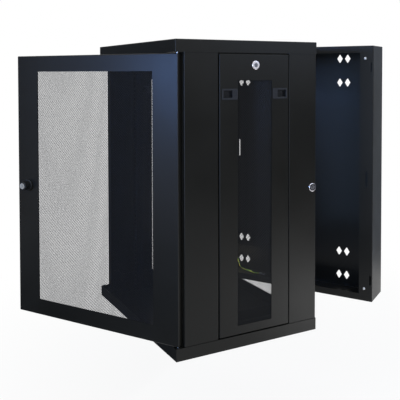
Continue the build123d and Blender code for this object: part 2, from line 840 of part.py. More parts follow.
plain_door = folded_tray(
    Plane((door_middle_x, door_back_y, 0), x_dir=(1, 0, 0), z_dir=(0, -1, 0)),
    door_width,
    door_height,
    door_thickness,
    -Axis.Y,
)
with BuildPart() as door_frame:
    add(plain_door.part)
    with BuildSketch(Plane.XZ.offset(-door_back_y)):
        with Locations((door_middle_x, 0)):
            Rectangle(door_width - 2 * sheet, door_height - 2 * sheet)
            Rectangle(door_width - 2 * door_back_lip, door_height - 2 * door_back_lip, mode=Mode.SUBTRACT)
    extrude(amount=sheet)
    with BuildSketch(Plane.XZ.offset(-door_face_y)):
        with Locations((door_middle_x, 0)):
            Rectangle(door_width - 2 * door_stile, door_height - 2 * door_rail)
        with Locations((knob_x, 0)):
            Circle(knob_barrel_radius + lock_hole_gap)
    extrude(amount=-sheet, mode=Mode.SUBTRACT)
    with BuildSketch(Plane.XY.offset(-door_height / 2)):
        with Locations((door_axis_x, door_axis_y)):
            Circle(door_pin_radius + running_gap)
    extrude(amount=door_height, mode=Mode.SUBTRACT)

door_mesh_plane = Plane((door_middle_x, door_face_y + sheet, 0), x_dir=(1, 0, 0), z_dir=(0, -1, 0))
door_mesh = perforated_sheet(
    door_mesh_plane, door_width - 2 * door_stile, door_height - 2 * door_rail, door_mesh_lap
)

with BuildPart() as upper_door_pin:
    with BuildSketch(Plane.XY.offset(door_height / 2 - sheet - door_collar_height)):
        with Locations((door_axis_x, door_axis_y)):
            Circle(door_collar_radius)
    extrude(amount=door_collar_height)
    with BuildSketch(Plane.XY.offset(skirt_edge + pivot_plate)):
        with Locations((door_axis_x, door_axis_y)):
            Circle(door_pin_radius)
    extrude(amount=-door_pin_length)
with BuildPart() as lower_door_pin:
    add(upper_door_pin.part)
    mirror(about=Plane.XY, mode=Mode.REPLACE)

# Door knob lock

with BuildPart() as door_lock_base:
    with BuildSketch(knob_plane):
        Circle(knob_base_radius)
    extrude(amount=knob_base_height)
    fillet(edges().filter_by(GeomType.CIRCLE).sort_by(Axis.Y)[0], radius=knob_round)
    with BuildSketch(knob_plane):
        Circle(knob_barrel_radius)
    extrude(amount=-knob_grip)
    with BuildSketch(knob_plane.offset(knob_base_height)):
        Circle(knob_spindle_radius + running_gap)
    extrude(amount=-(knob_base_height + knob_grip), mode=Mode.SUBTRACT)

with BuildPart() as door_lock_knob:
    with BuildSketch(knob_plane.offset(knob_base_height + knob_gap)):
        Circle(knob_radius)
    extrude(amount=knob_height)
    fillet(edges().filter_by(GeomType.CIRCLE).sort_by(Axis.Y)[0], radius=knob_round)
    with BuildSketch(knob_plane.offset(knob_base_height + knob_gap)):
        Circle(knob_spindle_radius)
    extrude(amount=-(knob_base_height + knob_gap + knob_grip))
    with BuildSketch(knob_plane.offset(-knob_grip)):
        Circle(lock_stud_radius)
    extrude(amount=-cam_thickness)

with BuildPart() as door_lock_insert:
    with BuildSketch(knob_plane.offset(knob_base_height + knob_gap + knob_height)):
        Circle(knob_insert_radius)
        Rectangle(key_slot_width, key_slot_length, mode=Mode.SUBTRACT)
    extrude(amount=knob_insert_height)

knob_cam_plane = Plane(knob_plane.origin, x_dir=(-1, 0, 0), z_dir=(0, -1, 0))
door_lock_cam = lock_cam(knob_cam_plane, knob_grip, knob_cam_length)
door_lock_nut = lock_nut(knob_plane, knob_nut_across, knob_barrel_radius)

# Turn the finished assemblies to the stored pose, name them and write them out

body_turn = Pos(swing_axis_x, swing_axis_y) * Rot(0, 0, -body_opening) * Pos(-swing_axis_x, -swing_axis_y)
door_turn = Pos(door_axis_x, door_axis_y) * Rot(0, 0, door_opening) * Pos(-door_axis_x, -door_axis_y)

wall_section = {
    "wall_frame": wall_frame,
    "lip_screws": lip_screws,
    "earth_stud": earth_stud,
    "earth_stud_lug": earth_stud_lug,
    "earth_wire": earth_wire,
    "earth_free_lug": earth_free_lug,
    "wall_hinge_fixed_leaves": wall_hinge_fixed_leaves,
    "wall_hinge_pins": wall_hinge_pins,
}
centre_body = {
    "wall_hinge_swing_leaves": wall_hinge_swing_leaves,
    "top_panel": top_panel,
    "bottom_panel": bottom_panel,
    "upper_pivot_plate": upper_pivot_plate,
    "lower_pivot_plate": lower_pivot_plate,
    "front_right_post": front_right_post,
    "front_left_post": front_left_post,
    "rear_right_post": rear_right_post,
    "rear_left_post": rear_left_post,
    "right_panel_sills": right_panel_sills,
    "left_panel_sills": left_panel_sills,
    "right_side_panel": right_side_panel,
    "left_side_panel": left_side_panel,
    "right_side_mesh": right_side_mesh,
    "left_side_mesh": left_side_mesh,
    "right_side_lock": right_side_lock,
    "left_side_lock": left_side_lock,
    "right_side_lock_plug": right_side_lock_plug,
    "left_side_lock_plug": left_side_lock_plug,
    "right_side_lock_cam": right_side_lock_cam,
    "left_side_lock_cam": left_side_lock_cam,
    "lock_nuts": lock_nuts,
    "right_front_latch_housing": right_front_latch_housing,
    "right_rear_latch_housing": right_rear_latch_housing,
    "left_front_latch_housing": left_front_latch_housing,
    "left_rear_latch_housing": left_rear_latch_housing,
    "right_front_latch_slider": right_front_latch_slider,
    "right_rear_latch_slider": right_rear_latch_slider,
    "left_front_latch_slider": left_front_latch_slider,
    "left_rear_latch_slider": left_rear_latch_slider,
    "swing_lock": swing_lock,
    "swing_lock_plug": swing_lock_plug,
    "swing_lock_cam": swing_lock_cam,
    "front_right_rail": front_right_rail,
    "front_left_rail": front_left_rail,
    "rear_right_rail": rear_right_rail,
    "rear_left_rail": rear_left_rail,
    "right_rail_brackets": right_rail_brackets,
    "left_rail_brackets": left_rail_brackets,
    "rail_bolts": rail_bolts,
}
door = {
    "door_frame": door_frame,
    "door_mesh": door_mesh,
    "upper_door_pin": upper_door_pin,
    "lower_door_pin": lower_door_pin,
    "door_lock_base": door_lock_base,
    "door_lock_nut": door_lock_nut,
    "door_lock_knob": door_lock_knob,
    "door_lock_insert": door_lock_insert,
    "door_lock_cam": door_lock_cam,
}


def write_out(pieces, turn):
    """Turn each piece of an assembly, label it with its name and write its file."""
    for name, piece in pieces.items():
        placed = piece.part.moved(turn)
        placed.label = name
        export_step(placed, f"parts/{name}.step")


write_out(wall_section, Pos(0, 0, 0))
write_out(centre_body, body_turn)
write_out(door, body_turn * door_turn)
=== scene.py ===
# %% [markdown]
# # Wall mount network cabinet
# A black sheet steel cabinet for 19 inch equipment. A shallow section stays on the wall, the centre body
# swings out from it, and a mesh door closes the front. The solids come from the CAD frame and stay as they
# are. This file adds what solids are poor at: thousands of punched holes, paint, plastic, plating and studio
# light.

# %% Load the frame
import json
import math

import bpy
import numpy as np
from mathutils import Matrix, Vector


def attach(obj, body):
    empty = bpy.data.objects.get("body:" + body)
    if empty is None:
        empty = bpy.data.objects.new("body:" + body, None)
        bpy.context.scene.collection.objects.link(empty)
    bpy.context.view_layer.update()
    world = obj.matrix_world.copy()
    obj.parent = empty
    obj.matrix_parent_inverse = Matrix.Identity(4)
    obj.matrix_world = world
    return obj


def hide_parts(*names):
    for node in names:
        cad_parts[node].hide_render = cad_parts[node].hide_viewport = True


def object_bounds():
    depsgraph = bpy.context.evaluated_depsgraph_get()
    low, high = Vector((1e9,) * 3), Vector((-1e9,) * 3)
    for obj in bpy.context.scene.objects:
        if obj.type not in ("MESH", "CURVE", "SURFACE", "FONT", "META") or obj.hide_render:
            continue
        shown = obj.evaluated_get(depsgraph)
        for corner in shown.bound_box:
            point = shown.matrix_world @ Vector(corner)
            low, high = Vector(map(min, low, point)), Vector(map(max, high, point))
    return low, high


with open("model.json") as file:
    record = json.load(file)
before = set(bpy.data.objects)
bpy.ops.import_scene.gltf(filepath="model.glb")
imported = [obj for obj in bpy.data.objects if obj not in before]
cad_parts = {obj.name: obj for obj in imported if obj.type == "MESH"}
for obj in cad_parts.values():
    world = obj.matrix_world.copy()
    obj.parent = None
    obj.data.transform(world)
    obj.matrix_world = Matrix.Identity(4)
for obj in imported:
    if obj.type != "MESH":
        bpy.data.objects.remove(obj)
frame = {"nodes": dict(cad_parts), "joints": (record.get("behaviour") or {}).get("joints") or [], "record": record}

cad_low, cad_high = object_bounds()
print(f"{len(frame['nodes'])} CAD nodes, size {[round(v, 3) for v in cad_high - cad_low]} m")

# %% [markdown]
# ## From the closed cabinet to the stored pose
# The cabinet is stored half open, as in the photograph. A panel is easiest to describe on the closed
# cabinet, where it lies along the axes, so each new sheet is made there and then turned as its body is
# turned. The two turns are in the frame's joints: the lower limit of each swing is its closed position.

# %% The turns of the body and the door
millimetre = 0.001
joints = {joint["name"]: joint for joint in frame["joints"]}


def opening_turn(joint):
    """The 4x4 turn about a joint's axis that takes its body from closed to stored.

    The rotation is the unit matrix, plus the sine of the angle times the axis's cross product matrix, plus
    one minus the cosine times that matrix squared. The last column keeps the joint's centre where it is.
    """
    angle = -math.radians(joint["range_deg"][0])
    x, y, z = joint["axis"]
    cross = np.array([[0, -z, y], [z, 0, -x], [-y, x, 0]])
    rotation = np.eye(3) + math.sin(angle) * cross + (1 - math.cos(angle)) * cross @ cross
    centre = np.array(joint["pos_m"])
    turn = np.eye(4)
    turn[:3, :3] = rotation
    turn[:3, 3] = centre - rotation @ centre
    return turn


body_turn = opening_turn(joints["cabinet_swing"])
door_turn = opening_turn(joints["door_swing"]) @ body_turn


def moved(turn, points):
    """Points carried by a 4x4 turn: rotation first, then the shift in its last column."""
    return points @ turn[:3, :3].T + turn[:3, 3]


def closed_box(node, turn):
    """Lowest and highest corner of a CAD node on the closed cabinet: its points, turned back."""
    mesh = frame["nodes"][node].data
    points = np.empty(len(mesh.vertices) * 3)
    mesh.vertices.foreach_get("co", points)
    closed = moved(np.linalg.inv(turn), points.reshape(-1, 3))
    return closed.min(axis=0), closed.max(axis=0)


for name, turn in (("right_side_mesh", body_turn), ("door_mesh", door_turn)):
    low, high = closed_box(name, turn)
    print(name, "closed, from", (low / millimetre).round(1), "to", (high / millimetre).round(1), "mm")

# %% [markdown]
# ## Perforated steel
# The door and both side panels have windows of perforated sheet: round holes in rows, each row shifted by
# half a step against the next. Boolean cuts would be slow and messy for thousands of holes. A see-through
# pattern in the paint would be quick, but flat from the side. Here the sheet is laid out like bricks: every
# brick carries one hole, eight quads join the brick's border to the hole's rim, and neighbours share their
# border points. The rows stand upright. The holes run on behind the frame of the window, as in a sheet that
# is cut from stock.

# %% One brick and its hole
hole_step = 4.6 * millimetre
hole_radius = 1.95 * millimetre
rim_points = 8


def brick_points(width, height):
    """Border of a brick, anticlockwise from the middle of its right side: corners and middles of sides."""
    across = np.array([1, 1, 0, -1, -1, -1, 0, 1]) * width / 2
    along = np.array([0, 1, 1, 1, 0, -1, -1, -1]) * height / 2
    return np.stack([across, along], axis=1)


def rim(radius):
    """Corners of a regular polygon: radius times cosine and sine of equal steps of angle."""
    angle = np.arange(rim_points) * 2 * math.pi / rim_points
    return radius * np.stack([np.cos(angle), np.sin(angle)], axis=1)


print(f"holes of {2 * hole_radius / millimetre:.1f} mm, {hole_step / millimetre:.1f} mm apart")


# %% Points and quads of rings and grids
def ring_quads(outer, inner):
    """Quads between two rings of the same count: four point numbers for each step round the ring."""
    corners = [outer, np.roll(outer, -1, axis=1), np.roll(inner, -1, axis=1), inner]
    return np.stack(corners, axis=2).reshape(-1, 4)


def grid_points(across, along):
    """Every crossing of two sets of lines, row by row."""
    return np.stack(np.meshgrid(across, along), axis=2).reshape(-1, 2)


def grid_quads(across, along, first_number):
    """Quads between the crossings that grid_points gives, numbered from first_number."""
    number = first_number + np.arange(len(across) * len(along)).reshape(len(along), len(across))
    corners = [number[:-1, :-1], number[:-1, 1:], number[1:, 1:], number[1:, :-1]]
    return np.stack(corners, axis=2).reshape(-1, 4)


print(len(grid_quads(range(4), range(3), 0)), "quads between 4 lines across and 3 along")


# %% Rows of bricks
def row_levels(window, rows, first, last):
    """Levels of the even and of the odd rows from first to last.

    Row r lies r + 1/2 row heights from the window's first edge.
    """
    row = np.arange(first, last)
    level = -window[1] / 2 + (row + 0.5) * (window[1] / rows)
    return level[row % 2 == 0], level[row % 2 == 1]


def brick_centres(window, rows, columns, first, last):
    """Centres of the bricks: even rows have one at every step, odd rows are shifted by half a step."""
    step = window[0] / columns
    even, odd = row_levels(window, rows, first, last)
    even_x = -window[0] / 2 + (np.arange(columns) + 0.5) * step
    odd_x = even_x[:-1] + step / 2
    return np.concatenate([grid_points(even_x, even), grid_points(odd_x, odd)])


def plain_strips(sheet, window, rows, columns, first, last):
    """The plain stretches round the holes, each given by its lines across and along.

    They are the edges left and right of the window, the ends of the sheet before its first and after its
    last row, and half a brick at both ends of every odd row.
    """
    row_height = window[1] / rows
    half_steps = np.linspace(-1, 1, 2 * columns + 1) * window[0] / 2
    half_levels = -window[1] / 2 + np.arange(2 * first, 2 * last + 1) * row_height / 2
    left, right = [-sheet[0] / 2, half_steps[0]], [half_steps[-1], sheet[0] / 2]
    strips = [(left, half_levels), (right, half_levels)]
    full_width = np.concatenate([left, half_steps[1:-1], right])
    if first == 0:
        strips.append((full_width, [-sheet[1] / 2, -window[1] / 2]))
    if last == rows:
        strips.append((full_width, [window[1] / 2, sheet[1] / 2]))
    for level in row_levels(window, rows, first, last)[1]:
        levels = level + np.array([-1, 0, 1]) * row_height / 2
        strips += [(half_steps[:2], levels), (half_steps[-2:], levels)]
    return strips


def perforated_rows(sheet, window, rows, columns, first, last):
    """Flat points and quads of the rows from first to last of a sheet, with the numbers of the hole rims."""
    centres = brick_centres(window, rows, columns, first, last)[:, None, :]
    border = centres + brick_points(window[0] / columns, window[1] / rows)
    holes = centres + rim(hole_radius)
    count = len(centres) * rim_points
    outer = np.arange(count).reshape(-1, rim_points)
    inner = outer + count
    points = [border.reshape(-1, 2), holes.reshape(-1, 2)]
    quads = [ring_quads(outer, inner)]
    count *= 2
    for across, along in plain_strips(sheet, window, rows, columns, first, last):
        points.append(grid_points(across, along))
        quads.append(grid_quads(across, along, count))
        count += len(points[-1])
    return np.concatenate(points), np.concatenate(quads), inner


print(len(brick_centres((4, 3), 3, 4, 0, 3)), "holes in a small window of 3 rows and 4 columns")

# %% [markdown]
# The layout is flat, and its bricks still have border points of their own. A Merge by Distance and a
# Solidify modifier could join and thicken it. With arrays it takes two short functions, and since the rims
# are known, the walls down the holes need no search.

# %% From a layout to a sheet with thickness
weld_distance = 0.001 * millimetre


def welded(points, quads):
    """The surface with points that round to the same micrometre made one, and each old point's new number."""
    key = np.round(points / weld_distance).astype(np.int64)
    _, keep, new_number = np.unique(key, axis=0, return_index=True, return_inverse=True)
    return points[keep], new_number.reshape(-1)[quads], new_number.reshape(-1)


def thick_sheet(points, quads, rims, thickness):
    """A flat sheet given a back: the quads again, turned over, and walls down every hole and round the edge.

    The edge is every side that only one quad has, apart from those on the rim of a hole.
    """
    count = len(points)
    front = np.column_stack([points, np.zeros(count)])
    back = np.column_stack([points, np.full(count, -thickness)])
    after = np.roll(rims, -1, axis=1)
    walls = np.stack([rims, after, after + count, rims + count], axis=2).reshape(-1, 4)
    on_rim = np.zeros(count, bool)
    on_rim[rims.ravel()] = True
    sides = np.stack([quads, np.roll(quads, -1, axis=1)], axis=2).reshape(-1, 2)
    side_key = sides.min(axis=1) * count + sides.max(axis=1)
    _, first_use, times = np.unique(side_key, return_index=True, return_counts=True)
    single = sides[np.sort(first_use[times == 1])]
    start, end = single[~on_rim[single].all(axis=1)].T
    lip = np.column_stack([end, start, start + count, end + count])
    return np.concatenate([front, back]), np.concatenate([quads, quads[:, ::-1] + count, walls, lip])


print(f"points that agree to {weld_distance / millimetre:.3f} mm become one")


# %% Into the scene
def in_scene(name, data):
    """A new object for a mesh, lamp or camera, at the origin and linked into the scene."""
    made = bpy.data.objects.new(name, data)
    bpy.context.scene.collection.objects.link(made)
    return made


def put_in_mesh(name, points, quads, body):
    """Makes one piece from points and quads, in place, riding on its body."""
    mesh = bpy.data.meshes.new(name)
    mesh.vertices.add(len(points))
    mesh.vertices.foreach_set("co", points.astype(np.float32).ravel())
    mesh.loops.add(quads.size)
    mesh.loops.foreach_set("vertex_index", quads.astype(np.int32).ravel())
    mesh.polygons.add(len(quads))
    mesh.polygons.foreach_set("loop_start", np.arange(len(quads), dtype=np.int32) * 4)
    mesh.update(calc_edges=True)
    piece = in_scene(name, mesh)
    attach(piece, body)
    return piece


# %% The sheets of the door and the side panels
most_rows_in_piece = 22
plain_edge = 0.6 * millimetre
row_share_of_step = math.sqrt(0.75)


def perforated_sheet(node, turn, flat_axes, depth_axis, facing, body):
    """Replaces a coarse CAD sheet by bands of perforated rows, each band a piece of its own.

    Rows lie as far apart as in a grid of equal triangles. Their number is odd, so that both ends are alike.
    """
    low, high = closed_box(node, turn)
    middle = (low + high) / 2
    sheet = (high - low)[flat_axes]
    window = sheet - 2 * plain_edge
    columns = round(window[0] / hole_step)
    rows = round(window[1] / (hole_step * row_share_of_step)) // 2 * 2 + 1
    outer_face = high[depth_axis] if facing > 0 else low[depth_axis]
    right_handed = np.linalg.det(np.eye(3)[[*flat_axes, depth_axis]]) * facing > 0
    band_count = math.ceil(rows / most_rows_in_piece)
    limits = np.linspace(0, rows, band_count + 1).round().astype(int)
    pieces = []
    for number, (first, last) in enumerate(zip(limits[:-1], limits[1:])):
        points, quads, rims = perforated_rows(sheet, window, rows, columns, first, last)
        points, quads, new_number = welded(points, quads)
        flat, faces = thick_sheet(points, quads, new_number[rims], (high - low)[depth_axis])
        place = np.empty_like(flat)
        place[:, flat_axes] = flat[:, :2] + middle[flat_axes]
        place[:, depth_axis] = outer_face + facing * flat[:, 2]
        faces = faces if right_handed else faces[:, ::-1]
        piece = put_in_mesh(f"{node}_holes_{number}", moved(turn, place), faces, body)
        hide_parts(node)
        pieces.append(piece)
    triangles = [len(piece.data.polygons) * 2 for piece in pieces]
    print(node, rows, "rows", columns, "columns", triangles, "triangles")
    return pieces


x_axis, y_axis, z_axis = range(3)
door_sheets = perforated_sheet("door_mesh", door_turn, [z_axis, x_axis], y_axis, -1, "door")
side_sheets = perforated_sheet("right_side_mesh", body_turn, [z_axis, y_axis], x_axis, 1, "cabinet")
side_sheets += perforated_sheet("left_side_mesh", body_turn, [z_axis, y_axis], x_axis, -1, "cabinet")

# %% [markdown]
# ## Earth wire
# A stranded wire with soft green and yellow cover bonds the wall section to the body. Its loose end lies on
# the floor of the wall section, and shows through the side window. A bevelled curve would do for one plain
# colour. The yellow stripe runs along the wire, so a tube is worked out here, and each point keeps its angle
# round the tube. The tube follows a smooth spline whose control points are those of the CAD wire.

# %% The line of the wire
wire_route = np.array(
    [
        (-277.82, -4.8, -405.02),
        (-273.18, -4.8, -419.29),
        (-265.0, -8.0, -436.2),
        (-251.0, -13.0, -441.2),
        (-232.0, -23.0, -441.2),
        (-213.0, -30.0, -441.2),
        (-196.0, -39.0, -441.2),
        (-179.09, -46.23, -440.2),
        (-165.88, -41.61, -440.2),
    ]
) * millimetre
steps_between_points = 8


def smooth_line(points, steps):
    """Points along the spline of third order that the given points control, from the first to the last."""
    curve = bpy.data.curves.new("wire line", "CURVE")
    curve.dimensions = "3D"
    spline = curve.splines.new("NURBS")
    spline.points.add(len(points) - 1)
    spline.points.foreach_set("co", np.column_stack([points, np.ones(len(points))]).ravel())
    spline.order_u = 3
    spline.use_endpoint_u = True
    spline.resolution_u = steps
    holder = bpy.data.objects.new("wire line", curve)
    mesh = bpy.data.meshes.new_from_object(holder)
    line = np.empty(len(mesh.vertices) * 3)
    mesh.vertices.foreach_get("co", line)
    bpy.data.objects.remove(holder)
    bpy.data.curves.remove(curve)
    bpy.data.meshes.remove(mesh)
    return line.reshape(-1, 3)


wire_line = smooth_line(wire_route, steps_between_points)

# %% The tube of the wire
wire_diameter = 4.0 * millimetre
wire_sides = 16
never_along_wire = (0.35, 0.2, 1)


def tube(line, radius, sides):
    """Rings round a line: centre + radius * (cos a * side + sin a * lift), a from 0 to a full turn.

    Side is square to the line and to a fixed slant that the line never follows, and lift is square to side
    and line. The ends are closed by points on the line. The angle of every ring point is given back as well.
    """
    along = np.gradient(line, axis=0)
    along /= np.linalg.norm(along, axis=1, keepdims=True)
    side = np.cross(along, never_along_wire)
    side /= np.linalg.norm(side, axis=1, keepdims=True)
    lift = np.cross(side, along)
    angle = np.arange(sides) * 2 * math.pi / sides
    spokes = np.cos(angle)[None, :, None] * side[:, None] + np.sin(angle)[None, :, None] * lift[:, None]
    rings = line[:, None] + radius * spokes
    number = np.arange(rings.shape[0] * sides).reshape(-1, sides)
    walls = ring_quads(number[1:], number[:-1])
    first, last = number.max() + 1, number.max() + 2
    nose = np.column_stack([number[0], np.roll(number[0], -1), np.full(sides, first)])
    tail = np.column_stack([np.roll(number[-1], -1), number[-1], np.full(sides, last)])
    points = np.concatenate([rings.reshape(-1, 3), line[[0, -1]]])
    return points, walls.tolist() + nose.tolist() + tail.tolist(), np.tile(angle, len(line))


wire_points, wire_faces, wire_angles = tube(wire_line, wire_diameter / 2, wire_sides)
wire_mesh = bpy.data.meshes.new("earth_wire_cover")
wire_mesh.from_pydata(wire_points.tolist(), [], wire_faces)
wire_mesh.shade_smooth()
at_ends = [1.0, 1.0]
round_wire = wire_mesh.attributes.new("round_wire", "FLOAT", "POINT")
round_wire.data.foreach_set("value", np.concatenate([np.cos(wire_angles), at_ends]).astype(np.float32))
print(f"earth wire cover: {len(wire_points)} points, {len(wire_faces)} faces")

# %% The wire as a cord of the wall section
wire = in_scene("earth_wire_cover", wire_mesh)
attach(wire, "wall_section")
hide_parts("earth_wire")
print(wire.name, "rides on the wall section, with a lug at each end")

# %% [markdown]
# ## Shader arithmetic
# A finish is a small formula: a colour, a roughness and a bump that change from place to place. Written with
# nodes by hand such a formula is long, so one class wraps a socket and turns + - and * into Math nodes.


# %% A socket that can be reckoned with
class Flow:
    """An output socket of a material's nodes. Arithmetic on it adds Math nodes to the same material."""

    def __init__(self, tree, socket=None):
        self.tree = tree
        self.socket = socket

    def node(self, kind, settings=None, inputs=None, out=0):
        """Adds a node: its settings first, then a value or link for each named or numbered input."""
        made = self.tree.nodes.new(kind)
        for name, value in (settings or {}).items():
            setattr(made, name, value)
        for name, value in (inputs or {}).items():
            if isinstance(value, Flow):
                self.tree.links.new(value.socket, made.inputs[name])
            else:
                made.inputs[name].default_value = value
        return Flow(self.tree, made.outputs[out])

    def reckon(self, operation, first, second):
        """Adds a Math node for two values, of which at least one is a socket."""
        return self.node("ShaderNodeMath", {"operation": operation}, {0: first, 1: second})

    def __add__(self, other):
        return self.reckon("ADD", self, other)

    def __sub__(self, other):
        return self.reckon("SUBTRACT", self, other)

    def __rsub__(self, other):
        return self.reckon("SUBTRACT", other, self)

    def __mul__(self, other):
        return self.reckon("MULTIPLY", self, other)

    __radd__ = __add__
    __rmul__ = __mul__


print(Flow.__doc__)


# %% What every finish needs
def new_finish(name):
    """A new material, its Principled shader and the place on the piece, which the patterns read."""
    material = bpy.data.materials.new(name)
    material.use_nodes = True
    tree = material.node_tree
    shader = tree.nodes["Principled BSDF"]
    place = Flow(tree).node("ShaderNodeTexCoord", out="Object")
    return material, shader, place


def grain(place, size, detail=2.0):
    """Noise between 0 and 1 whose blotches are about size metres across."""
    return place.node("ShaderNodeTexNoise", inputs={"Vector": place, "Scale": 1 / size, "Detail": detail})


def two_tone(place, share, first, second):
    """A colour that goes from first to second with share."""
    settings = {"data_type": "RGBA"}
    return place.node("ShaderNodeMix", settings, {"Factor": share, 6: (*first, 1), 7: (*second, 1)}, out=2)


def bumped(place, height, depth, strength):
    """A normal from a height field: depth is how high the field stands, in metres."""
    return place.node("ShaderNodeBump", inputs={"Height": height, "Distance": depth, "Strength": strength})


def lay_on(shader, socket, flow):
    """Links a varying value to a socket of the shader."""
    shader.id_data.links.new(flow.socket, shader.inputs[socket])


print("helpers:", [helper.__name__ for helper in (new_finish, grain, two_tone, bumped, lay_on)])

# %% [markdown]
# ## Powder coat
# The steel is sprayed with black powder and baked. The film is satin, never quite even: it has a skin like
# orange peel about a millimetre across, and broad cloudy patches where the film is thicker or has been
# wiped. One flat black would look like a hole in the picture. Noise of two sizes on the piece's own
# coordinates gives the patches and the peel, with no picture file, and it stays in place when the cabinet
# opens.

# %% The black paints
cloud_size, cloud_share, cloud_roughness = 160 * millimetre, 0.7, 0.14
speck_size, speck_share, speck_roughness = 2.2 * millimetre, 0.3, 0.1
peel_strength = 0.35
paint_gloss = 0.2


def powder_coat(name, dark, light, satin, peel_size, peel_depth):
    """Satin paint: cloudy colour and roughness from broad noise, orange peel from fine noise."""
    material, shader, place = new_finish(name)
    cloud = grain(place, cloud_size, detail=4)
    speck = grain(place, speck_size, detail=3)
    lay_on(shader, "Base Color", two_tone(place, cloud * cloud_share + speck * speck_share, dark, light))
    lay_on(shader, "Roughness", satin + (cloud - 0.5) * cloud_roughness + (speck - 0.5) * speck_roughness)
    peel = grain(place, peel_size)
    lay_on(shader, "Normal", bumped(place, peel, peel_depth, peel_strength))
    shader.inputs["Specular IOR Level"].default_value = paint_gloss
    return material


coat = powder_coat(
    "black powder coat",
    dark=(0.0068, 0.0061, 0.0046),
    light=(0.0112, 0.0101, 0.0077),
    satin=0.35,
    peel_size=1.1 * millimetre,
    peel_depth=0.06 * millimetre,
)
mesh_coat = powder_coat(
    "perforated sheet",
    dark=(0.006, 0.006, 0.0065),
    light=(0.009, 0.009, 0.010),
    satin=0.44,
    peel_size=1.1 * millimetre,
    peel_depth=0.04 * millimetre,
)
rail_coat = powder_coat(
    "rack rail",
    dark=(0.005, 0.005, 0.0055),
    light=(0.008, 0.008, 0.009),
    satin=0.34,
    peel_size=1.6 * millimetre,
    peel_depth=0.04 * millimetre,
)
print("paints:", [paint.name for paint in (coat, mesh_coat, rail_coat)])

# %% [markdown]
# ## Moulded plastic
# The latches in the side panels and the door knob are black plastic. Their moulds are sparked, which leaves
# a fine pebbled skin, and fingers polish it in places. A pattern of cells makes the pebbles. Modelled as
# geometry they would take very many faces.

# %% The black plastics
pebble_size, pebble_depth, pebble_strength = 0.7 * millimetre, 0.03 * millimetre, 0.4
polish_size, polish_roughness = 12 * millimetre, 0.16
plastic_gloss = 0.3


def moulded_plastic(name, dark, light, smooth):
    """Black plastic from a sparked mould: a pebbled skin, with patches that change colour and roughness."""
    material, shader, place = new_finish(name)
    pebbles = place.node("ShaderNodeTexVoronoi", inputs={"Vector": place, "Scale": 1 / pebble_size})
    worn = grain(place, polish_size, detail=4)
    lay_on(shader, "Base Color", two_tone(place, worn, dark, light))
    lay_on(shader, "Roughness", smooth + worn * polish_roughness)
    lay_on(shader, "Normal", bumped(place, pebbles, pebble_depth, pebble_strength))
    shader.inputs["Specular IOR Level"].default_value = plastic_gloss
    return material


plastic = moulded_plastic("black plastic", (0.015, 0.015, 0.017), (0.026, 0.026, 0.029), smooth=0.34)
# The sliders get a darker, glossier copy of the black plastic; its dark is painted shade for the finger wells
# under the latch covers.
shaded_slider_plastic = moulded_plastic("slider plastic, painted shade", (0.004, 0.004, 0.005), (0.008, 0.008, 0.009), smooth=0.18)
knob_plastic = moulded_plastic("knob plastic", (0.004, 0.004, 0.004), (0.008, 0.008, 0.008), smooth=0.5)
print("plastics:", [finish.name for finish in (plastic, shaded_slider_plastic, knob_plastic)])

# %% [markdown]
# ## Plated metal and a painted reflection
# The key locks are chrome over brass: a mirror with fine wiping marks. Cams, nuts and screws are zinc
# plated, which is greyer, blotchy, and rougher. The disc in the face of the door knob is metal. As metal it
# would mirror the dark surroundings and look black, so it is made as a pale paint instead: a painted
# reflection of a white ground.

# %% Chrome and zinc
scratch_size, scratch_squeeze = 1.6 * millimetre, (1, 1, 12)
scratch_depth, scratch_strength = 0.01 * millimetre, 0.2
blotch_roughness, scratch_roughness = 0.12, 0.06


def plated(name, dark, light, smooth, blotch):
    """Plated metal: blotches change colour and roughness, and noise that is squeezed upright scratches it."""
    material, shader, place = new_finish(name)
    patch = grain(place, blotch, detail=5)
    squeezed = place.node("ShaderNodeMapping", inputs={"Vector": place, "Scale": scratch_squeeze})
    scratch = grain(squeezed, scratch_size, detail=3)
    lay_on(shader, "Base Color", two_tone(place, patch, dark, light))
    lay_on(shader, "Roughness", smooth + patch * blotch_roughness + scratch * scratch_roughness)
    lay_on(shader, "Normal", bumped(place, scratch, scratch_depth, scratch_strength))
    shader.inputs["Metallic"].default_value = 1.0
    return material


chrome = plated("chrome", (0.58, 0.56, 0.60), (0.70, 0.68, 0.72), smooth=0.08, blotch=10 * millimetre)
key_metal = plated("key plug", (0.16, 0.16, 0.17), (0.28, 0.28, 0.30), smooth=0.3, blotch=3 * millimetre)
zinc = plated("zinc", (0.42, 0.43, 0.45), (0.6, 0.61, 0.63), smooth=0.28, blotch=4 * millimetre)
print("plated metals:", [metal.name for metal in (chrome, key_metal, zinc)])

# %% Silver disc, a painted reflection
handled_size, handled_share = 4 * millimetre, 0.6
flake_size, flake_share = 0.4 * millimetre, 0.4
flake_depth, flake_strength = 0.01 * millimetre, 0.2
disc_roughness, handled_roughness = 0.42, 0.16


def pale_reflection_paint(name, dark, light):
    """Pale paint on a metal disc, a painted reflection of a white ground: fine flakes, blotched by handling."""
    material, shader, place = new_finish(name)
    patch = grain(place, handled_size, detail=4)
    flakes = grain(place, flake_size)
    lay_on(shader, "Base Color", two_tone(place, patch * handled_share + flakes * flake_share, dark, light))
    lay_on(shader, "Roughness", disc_roughness + patch * handled_roughness)
    lay_on(shader, "Normal", bumped(place, flakes, flake_depth, flake_strength))
    return material


# The disc's pale colour is a painted reflection, in place of the white ground that the metal would mirror.
silver = pale_reflection_paint("silver disc, painted reflection", (0.31, 0.26, 0.19), (0.46, 0.39, 0.30))
print("painted reflection:", silver.name)

# %% [markdown]
# ## Wire cover
# Earth wire is told by its green cover with a yellow stripe on two opposite sides. A striped picture would
# need the tube unrolled. Here the stripe is read from the angle that each point of the tube keeps, so that
# it follows every bend. Its edge wavers, as extruded stripes do.

